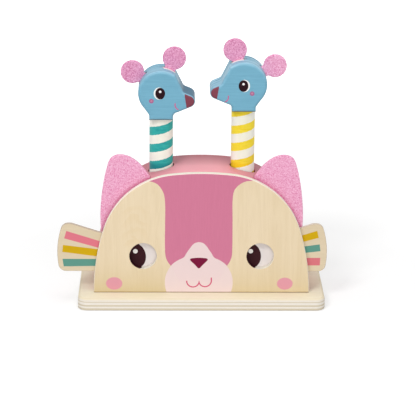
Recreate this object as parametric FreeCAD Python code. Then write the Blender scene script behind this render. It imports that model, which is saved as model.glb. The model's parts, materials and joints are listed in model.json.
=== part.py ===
import FreeCAD, Part
import math
import os

# Wooden pop-up toy: a dome-shaped box with a cat's face stands on a plywood base board.
# Two sprung pegs with animal heads are pushed down into the box and jump up again.
# A plate behind the face slides left and right: its ends are the cat's whiskers and its
# middle carries the pupils, so the cat looks from side to side.
# Millimetres. X runs along the face, +Y goes from the face to the back, +Z is up.
# The origin is the middle of the base board's underside.

# ---- Base board
BASE_WIDTH = 200.0
BASE_DEPTH = 80.0
BASE_THICKNESS = 10.4
BASE_CORNER_RADIUS = 8.0
BASE_TOP_ROUND = 2.5
BASE_BOTTOM_ROUND = 1.0

# ---- Dome-shaped box: each side of the outline is three tangent arcs
BODY_WIDTH = 174.8
BODY_HEIGHT = 101.4
BODY_DEPTH = 51.6
SIDE_ARC_RADIUS = 177.4
SHOULDER_ARC_RADIUS = 65.3
CROWN_ARC_RADIUS = 212.4
FACE_THICKNESS = 5.2
BACK_THICKNESS = 5.0
SHELL_THICKNESS = 5.0
PARTITION_THICKNESS = 3.0
GLUE_GAP = 0.2

# ---- Sliding plate with the pupils and the whisker fins
PLATE_THICKNESS = 3.2
PLATE_SIDE_CLEARANCE = 0.3
PLATE_EDGE_CLEARANCE = 0.3
PLATE_BOTTOM_HEIGHT = 16.4
PLATE_MIDDLE_HEIGHT = 32.8
PLATE_MIDDLE_HALF_LENGTH = 73.7
PLATE_HALF_LENGTH = 109.2
FIN_RISE = 7.9
FIN_END_BULGE = 1.8
FIN_TOP_FLAT = 6.9
FIN_TOP_SETBACK = 2.9
FIN_WIDEST_HEIGHT = 16.3
FIN_CORNER_RADIUS = 6.0
SLIDE_TRAVEL = 15.0
STOP_PIN_RADIUS = 2.0
STOP_PIN_HEIGHT = 30.2
STOP_PIN_SOCKET_DEPTH = 2.5
PIN_FIT = 0.05
GUIDE_RELIEF_HALF_LENGTH = 66.0
GUIDE_RELIEF_RISE = 7.0
FIN_SLOT_HEIGHT = 39.5

# ---- Holes in the face
EYE_SPACING = 94.6
EYE_HEIGHT = 31.5
EYE_HOLE_RADIUS = 11.0

# ---- Cat ears of thick felt; points are (distance in from the box's side, height over its top)
CAT_EAR_THICKNESS = 3.0
CAT_EAR_SLOT_CLEARANCE = 0.2
CAT_EAR_TAB_DEPTH = 12.0
CAT_EAR_INNER_END = 45.9
CAT_EAR_LOWER_END = 51.3
CAT_EAR_INNER_HEIGHT = -6.0
CAT_EAR_LOWER_IN = 6.1
CAT_EAR_OUTLINE = [
    (CAT_EAR_INNER_END, CAT_EAR_INNER_HEIGHT),
    (38.9, 3.4),
    (29.3, 10.8),
    (21.7, 12.5),
    (15.2, 10.4),
    (11.4, 2.7),
    (8.4, -10.8),
    (6.5, -24.8),
    (5.7, -37.8),
    (CAT_EAR_LOWER_IN, -CAT_EAR_LOWER_END),
]

# ---- Pegs
PEG_SPACING = 65.8
DOWEL_RADIUS = 9.5
LEFT_DOWEL_LENGTH = 71.2
RIGHT_DOWEL_LENGTH = 78.2
DOWEL_GUIDE_CLEARANCE = 0.1
TOP_HOLE_CLEARANCE = 1.0
SPIGOT_RADIUS = 5.0
SPIGOT_LENGTH = 14.0
SPIGOT_END_GAP = 1.0
SHELF_HEIGHT = 69.6
SHELF_THICKNESS = 6.0
COLLAR_RADIUS = 12.5
COLLAR_THICKNESS = 4.0
COLLAR_BOSS_RADIUS = 6.5
COLLAR_BOSS_LENGTH = 4.0
PEG_SCREW_RADIUS = 1.5
PEG_SCREW_LENGTH = 22.0
PEG_SCREW_HEAD_RADIUS = 3.2
PEG_SCREW_HEAD_HEIGHT = 2.2
COLLAR_BORE_CLEARANCE = 0.1

# ---- Animal heads, flat-cut from thick board; forward is the way the snout points
HEAD_RADIUS = 18.3
HEAD_CENTRE_HEIGHT = 22.0
HEAD_THICKNESS = 27.0
HEAD_EDGE_ROUND = 2.3
HEAD_BLEND_RADIUS = 4.0
FOREHEAD_FLAT_DISTANCE = 16.5
FOREHEAD_FLAT_ANGLE = 26.0
NECK_STRAIGHT_HEIGHT = 4.0
NECK_FLANK_ANGLE = 28.0
SNOUT_TIP_REACH = 27.0
SNOUT_TIP_RADIUS = 5.1
SNOUT_ROOT_RADIUS = 10.1
SNOUT_ROOT_FORWARD = 9.0
SNOUT_HEIGHT = 15.6

# ---- Felt ears of the animal heads; an ear's angle is measured up from forward, and its
# distance is from the head's centre to the disc's centre
EAR_DISC_RADIUS = 9.35
EAR_THICKNESS = 2.8
EAR_TAB_WIDTH = 9.0
EAR_SLOT_LENGTH = 12.0
EAR_SLOT_DEPTH = 5.0
EAR_SLOT_CLEARANCE = 0.2
LEFT_FRONT_EAR_ANGLE = 68.0
LEFT_FRONT_EAR_DISTANCE = 27.9
LEFT_BACK_EAR_ANGLE = 147.5
LEFT_BACK_EAR_DISTANCE = 27.2
RIGHT_FRONT_EAR_ANGLE = 74.5
RIGHT_FRONT_EAR_DISTANCE = 26.7
RIGHT_BACK_EAR_ANGLE = 152.5
RIGHT_BACK_EAR_DISTANCE = 28.0

# ---- Springs and their seats
SPRING_COIL_RADIUS = 8.2
SPRING_WIRE_RADIUS = 0.65
SPRING_TURNS = 12
SPRING_END_CLEARANCE = 0.05
SPRING_SEAT_RADIUS = 6.5
SPRING_SEAT_HEIGHT = 8.0

# ---- Fixing blocks and the screws that hold the base board on
BLOCK_WIDTH = 16.0
BLOCK_HEIGHT = 24.0
BLOCK_SPACING = 132.0
BASE_SCREW_RADIUS = 1.75
BASE_SCREW_LENGTH = 24.0
BASE_SCREW_HEAD_RADIUS = 3.6
BASE_SCREW_HEAD_HEIGHT = 2.2
BASE_SCREW_SINK = 0.3
BASE_SCREW_HOLE_CLEARANCE = 0.25
BASE_SCREW_SPACING = 18.0
SCREW_FIT = 0.05
SCREW_POINT_HEIGHT = 3.0
CROSS_WIDTH = 0.8
CROSS_DEPTH = 1.2

# ---- Derived positions
FLOOR = BASE_THICKNESS
BODY_TOP = FLOOR + BODY_HEIGHT
HALF_WIDTH = BODY_WIDTH / 2
FACE_FRONT = -BODY_DEPTH / 2
FACE_REAR = FACE_FRONT + FACE_THICKNESS
SHELL_REAR = BODY_DEPTH / 2
BACK_FRONT = SHELL_REAR - BACK_THICKNESS
PLATE_FRONT = FACE_REAR + PLATE_SIDE_CLEARANCE
PLATE_REAR = PLATE_FRONT + PLATE_THICKNESS
PARTITION_FRONT = PLATE_REAR + PLATE_SIDE_CLEARANCE
PARTITION_REAR = PARTITION_FRONT + PARTITION_THICKNESS
PLATE_BOTTOM = FLOOR + PLATE_BOTTOM_HEIGHT
PLATE_TOP = PLATE_BOTTOM + PLATE_MIDDLE_HEIGHT
PLATE_CENTRE = -SLIDE_TRAVEL / 2
PEG_Y = (FACE_REAR + SHELL_REAR) / 2
SHELF_BOTTOM = FLOOR + SHELF_HEIGHT
INNER_INSET = SHELL_THICKNESS + GLUE_GAP
# Construction only: a length past the whole toy, a small overrun of a cut, a tolerance
LARGE = 400.0
OVERRUN = 1.0
TINY = 0.01


def box(x0, x1, y0, y1, z0, z1):
    return Part.makeBox(x1 - x0, y1 - y0, z1 - z0, FreeCAD.Vector(x0, y0, z0))


def rod(radius, x, y, z0, z1):
    return Part.makeCylinder(radius, z1 - z0, FreeCAD.Vector(x, y, z0))


def cross_pin(radius, x, z, y0, y1):
    start = FreeCAD.Vector(x, y0, z)
    return Part.makeCylinder(radius, y1 - y0, start, FreeCAD.Vector(0, 1, 0))


def prism(face, y0, y1):
    flat = face.copy()
    flat.translate(FreeCAD.Vector(0, y0, 0))
    return flat.extrude(FreeCAD.Vector(0, y1 - y0, 0))


def at(x, z):
    return FreeCAD.Vector(x, 0, z)


def outline_face(edges):
    return Part.Face(Part.Wire(edges))


def polygon_face(points):
    closed = points + [points[0]]
    return Part.Face(Part.makePolygon([at(x, z) for x, z in closed]))


def mirrored(shape):
    return shape.mirror(FreeCAD.Vector(0, 0, 0), FreeCAD.Vector(1, 0, 0))


def arc(centre, radius, start, end):
    points = []
    for angle in (start, (start + end) / 2, end):
        along = centre[0] + radius * math.cos(angle)
        up = centre[1] + radius * math.sin(angle)
        points.append(at(along, up))
    return Part.Arc(*points).toShape()


# ---- The dome outline and everything parallel to it
def shoulder_centre():
    side = (HALF_WIDTH - SIDE_ARC_RADIUS, FLOOR)
    crown = (0.0, BODY_TOP - CROWN_ARC_RADIUS)
    from_side = SIDE_ARC_RADIUS - SHOULDER_ARC_RADIUS
    from_crown = CROWN_ARC_RADIUS - SHOULDER_ARC_RADIUS
    dx = crown[0] - side[0]
    dz = crown[1] - side[1]
    apart = math.hypot(dx, dz)
    along = (from_side**2 - from_crown**2 + apart**2) / (2 * apart)
    across = math.sqrt(from_side**2 - along**2)
    x = side[0] + (dx * along - dz * across) / apart
    z = side[1] + (dz * along + dx * across) / apart
    return side, (x, z), crown


def dome_face(inset):
    side, shoulder, crown = shoulder_centre()
    side_end = math.atan2(shoulder[1] - side[1], shoulder[0] - side[0])
    shoulder_end = math.atan2(shoulder[1] - crown[1], shoulder[0] - crown[0])
    flank = arc(side, SIDE_ARC_RADIUS - inset, 0.0, side_end)
    bend = arc(shoulder, SHOULDER_ARC_RADIUS - inset, side_end, shoulder_end)
    top = arc(crown, CROWN_ARC_RADIUS - inset, shoulder_end, math.pi - shoulder_end)
    left = HALF_WIDTH - inset
    bottom = Part.makeLine(at(-left, FLOOR), at(left, FLOOR))
    return outline_face([bottom, flank, bend, top, mirrored(bend), mirrored(flank)])


def inside_box(y0, y1, z0, z1):
    layer = prism(dome_face(INNER_INSET), y0, y1)
    return layer.common(box(-LARGE, LARGE, y0, y1, z0, z1))


# ---- Base board, with sunk clearance holes for its screws
def screw_places():
    places = []
    for side in (-1, 1):
        for end in (-1, 1):
            x = side * BLOCK_SPACING / 2
            y = PEG_Y + end * BASE_SCREW_SPACING / 2
            places.append((x, y))
    return places


def rounded_board():
    half = BASE_WIDTH / 2
    deep = BASE_DEPTH / 2
    board = box(-half, half, -deep, deep, 0, BASE_THICKNESS)
    uprights = [e for e in board.Edges if abs(e.BoundBox.ZLength - BASE_THICKNESS) < TINY]
    board = board.makeFillet(BASE_CORNER_RADIUS, uprights)
    rim = [e for e in board.Edges if e.BoundBox.ZMin > BASE_THICKNESS - TINY]
    board = board.makeFillet(BASE_TOP_ROUND, rim)
    foot = [e for e in board.Edges if e.BoundBox.ZMax < TINY]
    return board.makeFillet(BASE_BOTTOM_ROUND, foot)


def sink(x, y, clearance):
    top = BASE_SCREW_SINK + BASE_SCREW_HEAD_HEIGHT
    cone = Part.makeCone(
        BASE_SCREW_HEAD_RADIUS + clearance,
        BASE_SCREW_RADIUS + clearance,
        BASE_SCREW_HEAD_HEIGHT,
        FreeCAD.Vector(x, y, BASE_SCREW_SINK),
    )
    shank = rod(BASE_SCREW_RADIUS + clearance, x, y, top, FLOOR + clearance)
    mouth = rod(BASE_SCREW_HEAD_RADIUS + clearance, x, y, -OVERRUN, BASE_SCREW_SINK)
    return cone.fuse([shank, mouth])


def base_board():
    holes = [sink(x, y, BASE_SCREW_HOLE_CLEARANCE) for x, y in screw_places()]
    return rounded_board().cut(holes)


def cross_recess(x, y, z, reach):
    half = CROSS_WIDTH / 2
    one = box(x - reach, x + reach, y - half, y + half, z, z + CROSS_DEPTH)
    other = box(x - half, x + half, y - reach, y + reach, z, z + CROSS_DEPTH)
    return one.fuse(other)


def base_screw(x, y):
    head_top = BASE_SCREW_SINK + BASE_SCREW_HEAD_HEIGHT
    tip = BASE_SCREW_SINK + BASE_SCREW_LENGTH
    cone = Part.makeCone(
        BASE_SCREW_HEAD_RADIUS,
        BASE_SCREW_RADIUS,
        BASE_SCREW_HEAD_HEIGHT,
        FreeCAD.Vector(x, y, BASE_SCREW_SINK),
    )
    shank = rod(BASE_SCREW_RADIUS, x, y, head_top, tip - SCREW_POINT_HEIGHT)
    point = Part.makeCone(
        BASE_SCREW_RADIUS,
        0,
        SCREW_POINT_HEIGHT,
        FreeCAD.Vector(x, y, tip - SCREW_POINT_HEIGHT),
    )
    screw = cone.fuse([shank, point]).removeSplitter()
    return screw.cut(cross_recess(x, y, BASE_SCREW_SINK, BASE_SCREW_RADIUS))


def fixing_block(side):
    x = side * BLOCK_SPACING / 2
    top = FLOOR + BLOCK_HEIGHT
    block = box(
        x - BLOCK_WIDTH / 2,
        x + BLOCK_WIDTH / 2,
        PARTITION_REAR,
        BACK_FRONT,
        FLOOR,
        top,
    )
    tip = BASE_SCREW_SINK + BASE_SCREW_LENGTH
    bores = [
        rod(BASE_SCREW_RADIUS + SCREW_FIT, px, py, 0, tip + SCREW_FIT)
        for px, py in screw_places()
        if px * side > 0
    ]
    return block.cut(bores)


# ---- Box panels
def stop_pin_z():
    return FLOOR + STOP_PIN_HEIGHT


def front_panel():
    panel = prism(dome_face(0), FACE_FRONT, FACE_REAR)
    holes = []
    for side in (-1, 1):
        x = side * EYE_SPACING / 2
        z = FLOOR + EYE_HEIGHT
        holes.append(cross_pin(EYE_HOLE_RADIUS, x, z, FACE_FRONT - OVERRUN, FACE_REAR + OVERRUN))
    socket_end = FACE_REAR - STOP_PIN_SOCKET_DEPTH
    holes.append(cross_pin(STOP_PIN_RADIUS + PIN_FIT, 0, stop_pin_z(), socket_end, FACE_REAR))
    return panel.cut(holes)


def back_panel():
    return prism(dome_face(INNER_INSET), BACK_FRONT, SHELL_REAR)


def ear_corner(side, margin):
    inner = HALF_WIDTH - CAT_EAR_INNER_END - margin
    low = BODY_TOP - CAT_EAR_LOWER_END - margin
    corner = box(inner, LARGE, -LARGE, LARGE, low, LARGE)
    return corner if side > 0 else mirrored(corner)


def partition():
    wall = prism(dome_face(INNER_INSET), PARTITION_FRONT, PARTITION_REAR)
    tab_line = CAT_EAR_TAB_DEPTH + CAT_EAR_SLOT_CLEARANCE
    core = prism(dome_face(tab_line), PARTITION_FRONT, PARTITION_REAR)
    band = wall.cut(core)
    for side in (-1, 1):
        wall = wall.cut(band.common(ear_corner(side, CAT_EAR_SLOT_CLEARANCE)))
    bore = cross_pin(
        STOP_PIN_RADIUS + PIN_FIT, 0, stop_pin_z(), PARTITION_FRONT, PARTITION_REAR
    )
    return wall.cut(bore)


def body_shell():
    outer = prism(dome_face(0), FACE_REAR, SHELL_REAR)
    inner = prism(dome_face(SHELL_THICKNESS), FACE_REAR, SHELL_REAR)
    shell = outer.cut(inner)
    cuts = []
    for side in (-1, 1):
        x = side * PEG_SPACING / 2
        radius = DOWEL_RADIUS + TOP_HOLE_CLEARANCE
        cuts.append(rod(radius, x, PEG_Y, SHELF_BOTTOM, LARGE))
        ear_slot_end = PARTITION_REAR + CAT_EAR_SLOT_CLEARANCE
        slab = box(-LARGE, LARGE, FACE_REAR, ear_slot_end, FLOOR, LARGE)
        cuts.append(slab.common(ear_corner(side, CAT_EAR_SLOT_CLEARANCE)))
    low = PLATE_BOTTOM - PLATE_EDGE_CLEARANCE
    cuts.append(box(-LARGE, LARGE, FACE_REAR, PARTITION_FRONT, low, low + FIN_SLOT_HEIGHT))
    return shell.cut(cuts)


def upper_guide():
    low = PLATE_TOP + PLATE_EDGE_CLEARANCE
    guide = inside_box(FACE_REAR, PARTITION_FRONT, low, LARGE)
    reach = HALF_WIDTH - GUIDE_RELIEF_HALF_LENGTH
    relief = polygon_face(
        [
            (GUIDE_RELIEF_HALF_LENGTH, low),
            (HALF_WIDTH, low),
            (HALF_WIDTH, low + GUIDE_RELIEF_RISE),
            (HALF_WIDTH - reach / 2, low + GUIDE_RELIEF_RISE),
        ]
    )
    notch = prism(relief, FACE_REAR, PARTITION_FRONT)
    return guide.cut([notch, mirrored(notch)])


def lower_guide():
    high = PLATE_BOTTOM - PLATE_EDGE_CLEARANCE
    return inside_box(FACE_REAR, PARTITION_FRONT, FLOOR, high)


def stop_pin():
    start = FACE_REAR - STOP_PIN_SOCKET_DEPTH + PIN_FIT
    return cross_pin(STOP_PIN_RADIUS, 0, stop_pin_z(), start, PARTITION_REAR)


def peg_shelf():
    shelf = inside_box(PARTITION_REAR, BACK_FRONT, SHELF_BOTTOM, SHELF_BOTTOM + SHELF_THICKNESS)
    radius = DOWEL_RADIUS + DOWEL_GUIDE_CLEARANCE
    holes = []
    for side in (-1, 1):
        x = side * PEG_SPACING / 2
        holes.append(rod(radius, x, PEG_Y, 0, BODY_TOP))
    return shelf.cut(holes)


# ---- Cat ears: a felt leaf whose tab lies in the partition's layer inside the box
def cat_ear():
    points = [at(HALF_WIDTH - inward, BODY_TOP + up) for inward, up in CAT_EAR_OUTLINE]
    leaf = Part.BSplineCurve()
    leaf.interpolate(points)
    first = points[0]
    last = points[-1]
    corner = at(first.x, last.z)
    edges = [
        leaf.toShape(),
        Part.makeLine(last, corner),
        Part.makeLine(corner, first),
    ]
    whole = prism(outline_face(edges), PARTITION_FRONT, PARTITION_FRONT + CAT_EAR_THICKNESS)
    core = prism(dome_face(CAT_EAR_TAB_DEPTH), PARTITION_FRONT, PARTITION_REAR)
    return whole.cut(core)


# ---- Sliding plate: a straight middle that flares into a fin at each end
def fin_half_face():
    end = PLATE_HALF_LENGTH - FIN_END_BULGE
    top = PLATE_TOP + FIN_RISE
    upper = at(end - FIN_TOP_SETBACK, top)
    lower = at(end, PLATE_BOTTOM)
    widest = at(PLATE_HALF_LENGTH, PLATE_BOTTOM + FIN_WIDEST_HEIGHT)
    shoulder = at(end - FIN_TOP_SETBACK - FIN_TOP_FLAT, top)
    side = Part.Arc(lower, widest, upper).toShape()
    edges = [
        Part.makeLine(at(0, PLATE_BOTTOM), lower),
        side,
        Part.makeLine(upper, shoulder),
        Part.makeLine(shoulder, at(PLATE_MIDDLE_HALF_LENGTH, PLATE_TOP)),
        Part.makeLine(at(PLATE_MIDDLE_HALF_LENGTH, PLATE_TOP), at(0, PLATE_TOP)),
        Part.makeLine(at(0, PLATE_TOP), at(0, PLATE_BOTTOM)),
    ]
    return outline_face(edges)


def slider_plate():
    half = prism(fin_half_face(), PLATE_FRONT, PLATE_REAR)
    end_corners = []
    for edge in half.Edges:
        spot = edge.BoundBox
        along = spot.YLength > PLATE_THICKNESS - TINY and spot.XLength < TINY
        if along and spot.XMin > PLATE_MIDDLE_HALF_LENGTH + TINY:
            end_corners.append(edge)
    half = half.makeFillet(FIN_CORNER_RADIUS, end_corners)
    plate = half.fuse(mirrored(half)).removeSplitter()
    plate.translate(FreeCAD.Vector(PLATE_CENTRE, 0, 0))
    reach = STOP_PIN_RADIUS + PIN_FIT
    slot = box(-SLIDE_TRAVEL, 0, PLATE_FRONT, PLATE_REAR, stop_pin_z() - reach, stop_pin_z() + reach)
    ends = [
        cross_pin(reach, x, stop_pin_z(), PLATE_FRONT, PLATE_REAR)
        for x in (-SLIDE_TRAVEL, 0)
    ]
    return plate.cut(slot.fuse(ends))


# ---- Animal head in its own place: the peg's axis is x = 0, z = 0 is under the neck
def snout_face():
    tip = (SNOUT_TIP_REACH - SNOUT_TIP_RADIUS, SNOUT_HEIGHT)
    root = (SNOUT_ROOT_FORWARD, SNOUT_HEIGHT)
    taper = math.asin((SNOUT_ROOT_RADIUS - SNOUT_TIP_RADIUS) / (tip[0] - root[0]))
    lean = math.pi / 2 - taper
    corners = []
    for centre, radius, sign in (
        (root, SNOUT_ROOT_RADIUS, 1),
        (tip, SNOUT_TIP_RADIUS, 1),
        (tip, SNOUT_TIP_RADIUS, -1),
        (root, SNOUT_ROOT_RADIUS, -1),
    ):
        x = centre[0] + radius * math.cos(lean)
        z = centre[1] + sign * radius * math.sin(lean)
        corners.append(at(x, z))
    edges = [
        Part.makeLine(corners[0], corners[1]),
        Part.Arc(corners[1], at(SNOUT_TIP_REACH, SNOUT_HEIGHT), corners[2]).toShape(),
        Part.makeLine(corners[2], corners[3]),
        Part.makeLine(corners[3], corners[0]),
    ]
    return outline_face(edges)


def neck_face():
    flank = math.radians(NECK_FLANK_ANGLE)
    back_x = -HEAD_RADIUS * math.cos(flank)
    back_z = HEAD_CENTRE_HEIGHT - HEAD_RADIUS * math.sin(flank)
    return polygon_face(
        [
            (-DOWEL_RADIUS, 0),
            (DOWEL_RADIUS, 0),
            (DOWEL_RADIUS, back_z),
            (back_x, back_z),
            (-DOWEL_RADIUS, NECK_STRAIGHT_HEIGHT),
        ]
    )


def skull_face():
    centre = at(0, HEAD_CENTRE_HEIGHT)
    disc = Part.Face(Part.Wire(Part.makeCircle(HEAD_RADIUS, centre, FreeCAD.Vector(0, 1, 0))))
    flat = Part.makePlane(
        LARGE,
        LARGE,
        at(FOREHEAD_FLAT_DISTANCE, HEAD_CENTRE_HEIGHT - LARGE / 2),
        FreeCAD.Vector(0, 1, 0),
        FreeCAD.Vector(0, 0, 1),
    )
    flat.rotate(centre, FreeCAD.Vector(0, 1, 0), -FOREHEAD_FLAT_ANGLE)
    return disc.cut(flat)


def head_profile():
    half = HEAD_THICKNESS / 2
    parts = (skull_face(), snout_face(), neck_face())
    skull, snout, neck = [prism(face, 0, half) for face in parts]
    joined = skull.fuse([snout, neck]).removeSplitter()
    outline = [face for face in joined.Faces if face.BoundBox.YMax < TINY][0]
    grown = outline.makeOffset2D(HEAD_BLEND_RADIUS)
    return grown.makeOffset2D(-HEAD_BLEND_RADIUS)


def ear_turn(shape, angle):
    turned = shape.copy()
    turned.rotate(at(0, HEAD_CENTRE_HEIGHT), FreeCAD.Vector(0, 1, 0), -angle)
    return turned


def felt_ear(angle, distance):
    half = EAR_THICKNESS / 2
    wide = EAR_TAB_WIDTH / 2
    foot = HEAD_RADIUS - EAR_SLOT_DEPTH + EAR_SLOT_CLEARANCE
    disc = cross_pin(EAR_DISC_RADIUS, distance, HEAD_CENTRE_HEIGHT, -half, half)
    tab = box(
        foot,
        distance,
        -half,
        half,
        HEAD_CENTRE_HEIGHT - wide,
        HEAD_CENTRE_HEIGHT + wide,
    )
    return ear_turn(disc.fuse(tab).removeSplitter(), angle)


def ear_slot(angle):
    half = EAR_THICKNESS / 2 + EAR_SLOT_CLEARANCE
    long = EAR_SLOT_LENGTH / 2
    foot = HEAD_RADIUS - EAR_SLOT_DEPTH
    slot = box(
        foot,
        foot + 2 * EAR_SLOT_DEPTH,
        -half,
        half,
        HEAD_CENTRE_HEIGHT - long,
        HEAD_CENTRE_HEIGHT + long,
    )
    return ear_turn(slot, angle)


def head(ear_angles):
    half = HEAD_THICKNESS / 2
    block = prism(head_profile(), -half, half)
    rims = [e for e in block.Edges if e.BoundBox.YLength < TINY]
    block = block.makeFillet(HEAD_EDGE_ROUND, rims)
    cuts = [ear_slot(angle) for angle in ear_angles]
    cuts.append(rod(SPIGOT_RADIUS + PIN_FIT, 0, 0, -OVERRUN, SPIGOT_LENGTH + SPIGOT_END_GAP))
    return block.cut(cuts)


# ---- Peg: dowel, head, two ears, and the collar that its spring lifts
def dowel(length):
    turned = rod(DOWEL_RADIUS, 0, 0, -length, 0).fuse(rod(SPIGOT_RADIUS, 0, 0, 0, SPIGOT_LENGTH))
    grip = PEG_SCREW_LENGTH - COLLAR_THICKNESS - COLLAR_BOSS_LENGTH
    pilot = rod(PEG_SCREW_RADIUS + SCREW_FIT, 0, 0, -length, -length + grip + SCREW_FIT)
    return turned.removeSplitter().cut(pilot)


def collar(length):
    disc = rod(COLLAR_RADIUS, 0, 0, -length - COLLAR_THICKNESS, -length)
    end = -length - COLLAR_THICKNESS - COLLAR_BOSS_LENGTH
    boss = rod(COLLAR_BOSS_RADIUS, 0, 0, end, -length - COLLAR_THICKNESS)
    bore = rod(PEG_SCREW_RADIUS + COLLAR_BORE_CLEARANCE, 0, 0, end, -length)
    return disc.fuse(boss).removeSplitter().cut(bore)


def peg_screw(length):
    seat = -length - COLLAR_THICKNESS - COLLAR_BOSS_LENGTH
    tip = seat + PEG_SCREW_LENGTH
    button = rod(PEG_SCREW_HEAD_RADIUS, 0, 0, seat - PEG_SCREW_HEAD_HEIGHT, seat)
    shank = rod(PEG_SCREW_RADIUS, 0, 0, seat, tip - SCREW_POINT_HEIGHT)
    point = Part.makeCone(
        PEG_SCREW_RADIUS,
        0,
        SCREW_POINT_HEIGHT,
        FreeCAD.Vector(0, 0, tip - SCREW_POINT_HEIGHT),
    )
    screw = button.fuse([shank, point]).removeSplitter()
    return screw.cut(cross_recess(0, 0, seat - PEG_SCREW_HEAD_HEIGHT, PEG_SCREW_RADIUS))


def place_peg(shape, side, length):
    placed = shape.copy() if side < 0 else mirrored(shape)
    spot = FreeCAD.Vector(side * PEG_SPACING / 2, PEG_Y, SHELF_BOTTOM + length)
    placed.translate(spot)
    return placed


def spring(side):
    foot = FLOOR + SPRING_WIRE_RADIUS + SPRING_END_CLEARANCE
    under_collar = SHELF_BOTTOM - COLLAR_THICKNESS
    height = under_collar - SPRING_WIRE_RADIUS - SPRING_END_CLEARANCE - foot
    path = Part.makeHelix(height / SPRING_TURNS, height, SPRING_COIL_RADIUS)
    start = FreeCAD.Vector(SPRING_COIL_RADIUS, 0, 0)
    ring = Part.makeCircle(SPRING_WIRE_RADIUS, start, FreeCAD.Vector(0, 1, 0))
    coil = Part.Wire(path.Edges).makePipeShell([Part.Wire(ring)], True, True)
    coil.translate(FreeCAD.Vector(side * PEG_SPACING / 2, PEG_Y, foot))
    return coil


def spring_seat(side):
    x = side * PEG_SPACING / 2
    return rod(SPRING_SEAT_RADIUS, x, PEG_Y, FLOOR, FLOOR + SPRING_SEAT_HEIGHT)


def model():
    nodes = {
        "base_board": base_board(),
        "base_screws": Part.makeCompound([base_screw(x, y) for x, y in screw_places()]),
        "front_panel": front_panel(),
        "body_shell": body_shell(),
        "back_panel": back_panel(),
        "partition": partition(),
        "upper_guide": upper_guide(),
        "lower_guide": lower_guide(),
        "stop_pin": stop_pin(),
        "peg_shelf": peg_shelf(),
        "slider_plate": slider_plate(),
    }
    left_front = (LEFT_FRONT_EAR_ANGLE, LEFT_FRONT_EAR_DISTANCE)
    left_back = (LEFT_BACK_EAR_ANGLE, LEFT_BACK_EAR_DISTANCE)
    right_front = (RIGHT_FRONT_EAR_ANGLE, RIGHT_FRONT_EAR_DISTANCE)
    right_back = (RIGHT_BACK_EAR_ANGLE, RIGHT_BACK_EAR_DISTANCE)
    pegs = (
        ("left", -1, LEFT_DOWEL_LENGTH, left_front, left_back),
        ("right", 1, RIGHT_DOWEL_LENGTH, right_front, right_back),
    )
    ear = cat_ear()
    for name, side, length, front, back in pegs:
        pieces = {
            "head": head([front[0], back[0]]),
            "front_ear": felt_ear(*front),
            "back_ear": felt_ear(*back),
            "dowel": dowel(length),
            "collar": collar(length),
            "collar_screw": peg_screw(length),
        }
        for piece, shape in pieces.items():
            nodes[f"{name}_{piece}"] = place_peg(shape, side, length)
        nodes[f"{name}_spring"] = spring(side)
        nodes[f"{name}_spring_seat"] = spring_seat(side)
        nodes[f"{name}_block"] = fixing_block(side)
        nodes[f"{name}_cat_ear"] = ear if side > 0 else mirrored(ear)
    return nodes


os.makedirs("parts", exist_ok=True)
for node, shape in model().items():
    shape.exportStep(f"parts/{node}.step")
    solids = len(shape.Solids)
    print(f"{node}: {solids} solid(s), {shape.Volume / 1000:.2f} cm3, valid {shape.isValid()}")
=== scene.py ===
# %% [markdown]
# # A wooden pop-up toy
# The toy is a dome-shaped box with a cat's face, on a plywood board. Two striped pegs with
# animal heads jump out of its top, and a thin plate slides behind the face.
# The parts arrive as exact solids in metres. Modelled again by hand they would no longer fit
# each other, so this lesson only dresses them, and sets up a small studio.

# %% Load the toy's solids
import json
import math

import bmesh
import bpy
from mathutils import Matrix, Vector, noise
from mathutils.geometry import tessellate_polygon

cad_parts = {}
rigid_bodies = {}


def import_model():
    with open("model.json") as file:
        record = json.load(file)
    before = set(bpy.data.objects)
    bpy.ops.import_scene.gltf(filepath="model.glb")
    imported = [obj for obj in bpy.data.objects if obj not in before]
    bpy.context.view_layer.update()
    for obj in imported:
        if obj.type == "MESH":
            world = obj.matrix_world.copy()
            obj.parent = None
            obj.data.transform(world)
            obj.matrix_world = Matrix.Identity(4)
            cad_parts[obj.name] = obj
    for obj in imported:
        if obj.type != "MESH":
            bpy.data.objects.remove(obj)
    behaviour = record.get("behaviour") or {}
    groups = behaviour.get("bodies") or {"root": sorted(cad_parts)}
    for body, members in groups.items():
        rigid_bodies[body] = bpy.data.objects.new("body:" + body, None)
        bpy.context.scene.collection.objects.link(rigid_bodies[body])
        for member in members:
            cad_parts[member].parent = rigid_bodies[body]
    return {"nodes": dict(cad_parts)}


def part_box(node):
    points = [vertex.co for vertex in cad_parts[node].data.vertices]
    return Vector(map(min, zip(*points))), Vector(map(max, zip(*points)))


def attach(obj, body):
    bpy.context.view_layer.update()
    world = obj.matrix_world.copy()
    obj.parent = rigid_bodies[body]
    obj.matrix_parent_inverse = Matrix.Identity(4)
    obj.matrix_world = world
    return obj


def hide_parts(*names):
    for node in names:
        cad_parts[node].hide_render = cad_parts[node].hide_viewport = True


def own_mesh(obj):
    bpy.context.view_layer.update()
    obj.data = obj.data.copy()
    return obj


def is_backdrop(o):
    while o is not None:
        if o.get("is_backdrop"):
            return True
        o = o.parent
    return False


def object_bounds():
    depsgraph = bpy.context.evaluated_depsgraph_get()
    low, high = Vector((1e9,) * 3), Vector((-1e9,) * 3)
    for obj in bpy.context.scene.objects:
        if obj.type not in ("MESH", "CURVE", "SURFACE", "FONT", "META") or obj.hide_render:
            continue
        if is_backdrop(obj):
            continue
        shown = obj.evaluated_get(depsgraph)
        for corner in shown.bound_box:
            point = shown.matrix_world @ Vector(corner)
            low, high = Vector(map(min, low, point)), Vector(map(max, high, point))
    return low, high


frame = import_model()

nodes = frame["nodes"]
cad_low, cad_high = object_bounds()
MM = 0.001
print("solids:", len(nodes), "box in mm:", [round(v / MM, 1) for v in cad_high - cad_low])

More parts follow.
